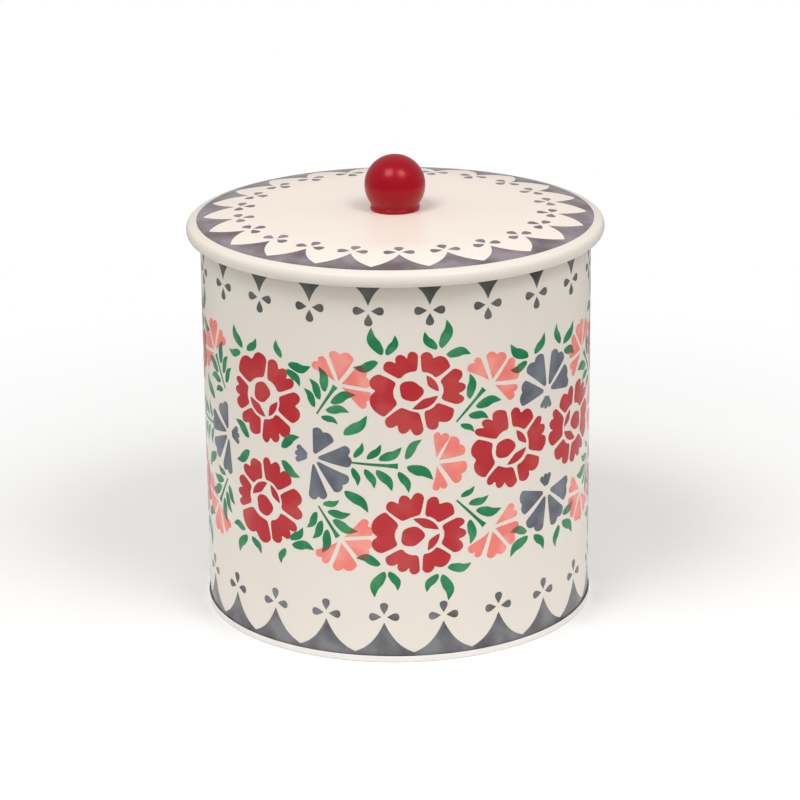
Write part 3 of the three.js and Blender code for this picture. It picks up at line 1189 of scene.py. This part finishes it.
def mouthShapes():
    shapes = []
    places = border["mouth"]
    high = curlFoot / mm - 0.4
    half = border["mouthHalfWidth"]
    wide = half + border["intoCurl"]
    for centre, _ in repeats(places, circumference):
        edge = spikeEdge(centre, half, places["root"], places["spike"], sharpness=0.8)
        # the spikes under the rim take the darker ink, which paints the rim's shade onto them
        shapes += inked("darkBorder", [[*edge, (centre + wide, high), (centre - wide, high)]])
        shapes += inked("darkBorder", trefoil(centre, places["trefoil"], (0, 180, 270)))
    return shapes


polarScale = 70.0       # a turn of the lid is laid out flat as if at this radius
lidSpan = 2 * math.pi * polarScale


def lidShapes():
    shapes = []
    places = border["lid"]
    edge = places["edge"]
    for centre, half in repeats(places, lidSpan):
        inner = spikeEdge(centre, half, places["valley"], places["spike"], straight=0.62)
        # the lid's border takes the lighter ink, which is painted light on the lid's top
        shapes += inked("plumBorder", [[(centre - half, edge), *inner, (centre + half, edge)]])
        for shape in trefoil(places["trefoil"], 0, (90, 180, 270), border["lidPetalWidth"]):
            laid = [(math.atan2(y, x) * polarScale + centre, math.hypot(x, y)) for x, y in shape]
            shapes += inked("plumBorder", [laid])
    return shapes


film = {
    "proud": 0.05 * mm,     # the ink stands this far off the enamel
    "sunk": 0.03 * mm,      # and reaches this far into it, so that no gap shows
    "columns": 192,         # straight cuts across the print, so that it follows the curve
    "lidRows": (58, 61, 64, 67, 70, 73, 76),    # ring cuts, so that it follows the lid's shoulder
    "merge": 1e-4,
}


def mixedInk(inksThere):
    # where two inks overlap, the darker one wins or they muddy
    if len(inksThere) > 1 and "green" in inksThere:
        return "shade"
    for ink in ("red", "slate", "coral"):
        if ink in inksThere:
            return ink
    return min(inksThere)


def onWall(u, v, out):
    a = u * mm / wallRadius
    r = wallRadius + out
    normal = Vector((math.sin(a), -math.cos(a), 0))
    return Vector((r * normal.x, r * normal.y, v * mm)), normal


def onLid(u, v, out):
    a, r = u / polarScale, v * mm
    step = 0.01 * mm
    slope = (lidLevel(r - step) - lidLevel(r + step)) / (2 * step)
    normal = Vector((slope * math.sin(a), -slope * math.cos(a), 1)).normalized()
    return Vector((r * math.sin(a), -r * math.cos(a), lidLevel(r))) + normal * out, normal


def cutPrint(shapes, span, rows, margin):
    # cuts the flat print along the columns and rows, into triangles for each ink
    half = span / 2
    points, faces, edges, faceInks = [], [], [], []
    for ink, shape in shapes:
        lowU, highU = min(p[0] for p in shape), max(p[0] for p in shape)
        loop = shape if signedArea(shape) > 0 else shape[::-1]
        for shift in (span, 0, -span, -2 * span):
            if highU + shift < -half or lowU + shift > half:
                continue
            faces.append(list(range(len(points), len(points) + len(loop))))
            points.extend(Vector((x + shift, y)) for x, y in loop)
            faceInks.append(ink)
    lowV, highV = min(p.y for p in points) - 1, max(p.y for p in points) + 1
    columns = [-half + margin, half - margin]
    columns += [-half + span * k / film["columns"] for k in range(1, film["columns"])]
    cuts = [((u, lowV), (u, highV)) for u in sorted(columns)]
    cuts += [((-half - 1, v), (half + 1, v)) for v in rows]
    for start, stop in cuts:
        edges.append((len(points), len(points) + 1))
        points += [Vector(start), Vector(stop)]
    found, _, tris, _, _, sources = delaunay_2d_cdt(points, edges, faces, 0, film["merge"])
    byInk = {}
    for tri, source in zip(tris, sources):
        centre = sum(found[i].x for i in tri) / 3
        if source and abs(centre) < half - margin:
            byInk.setdefault(mixedInk({faceInks[f] for f in source}), []).append(tri)
    return found, byInk


def makeFilm(name, found, tris, place, material):
    # a thin closed film: the printed face, its back in the enamel, and the rim between them
    used = sorted({i for tri in tris for i in tri})
    spot = {old: new for new, old in enumerate(used)}
    count = len(used)
    outer = [place(found[i].x, found[i].y, film["proud"]) for i in used]
    inner = [place(found[i].x, found[i].y, -film["sunk"])[0] for i in used]
    faces = [tuple(spot[i] for i in tri) for tri in tris]
    rim = {}
    for a, b, c in faces:
        for edge in ((a, b), (b, c), (c, a)):
            if edge[::-1] in rim:
                del rim[edge[::-1]]
            else:
                rim[edge] = True
    topFaces = len(faces)
    faces += [(c + count, b + count, a + count) for a, b, c in faces[:topFaces]]
    faces += [(b, a, a + count, b + count) for a, b in rim]
    # the flat layout is seen from outside on the wall and from above on the lid
    probe = [outer[i][0] for i in faces[0]]
    if (probe[1] - probe[0]).cross(probe[2] - probe[0]).dot(outer[faces[0][0]][1]) < 0:
        faces = [face[::-1] for face in faces]
    mesh = bpy.data.meshes.new(name)
    mesh.from_pydata([p for p, _ in outer] + inner, [], faces)
    mesh.polygons.foreach_set("use_smooth", [i < topFaces for i in range(len(faces))])
    mesh.materials.append(material)
    normals = []
    for number, face in enumerate(mesh.polygons):
        for corner in face.loop_indices:
            vertex = mesh.loops[corner].vertex_index
            normals.append(outer[vertex][1] if number < topFaces else face.normal.copy())
    mesh.normals_split_custom_set(normals)
    return addObject(name, mesh)


def layPrint(prefix, shapes, span, place, bodyName, rows=(), margin=0.0):
    found, byInk = cutPrint(shapes, span, rows, margin)
    for ink, tris in byInk.items():
        piece = makeFilm(prefix + "_" + ink, found, tris, place, inkFinish[ink])
        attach(piece, bodyName)


for prefix, shapes in (("band", bandShapes()), ("foot", footShapes()), ("mouth", mouthShapes())):
    layPrint(prefix, shapes, circumference, onWall, "tin", margin=band["seamMargin"])
layPrint("lid", lidShapes(), lidSpan, onLid, "lid", rows=film["lidRows"])
print("stage: the print is laid")
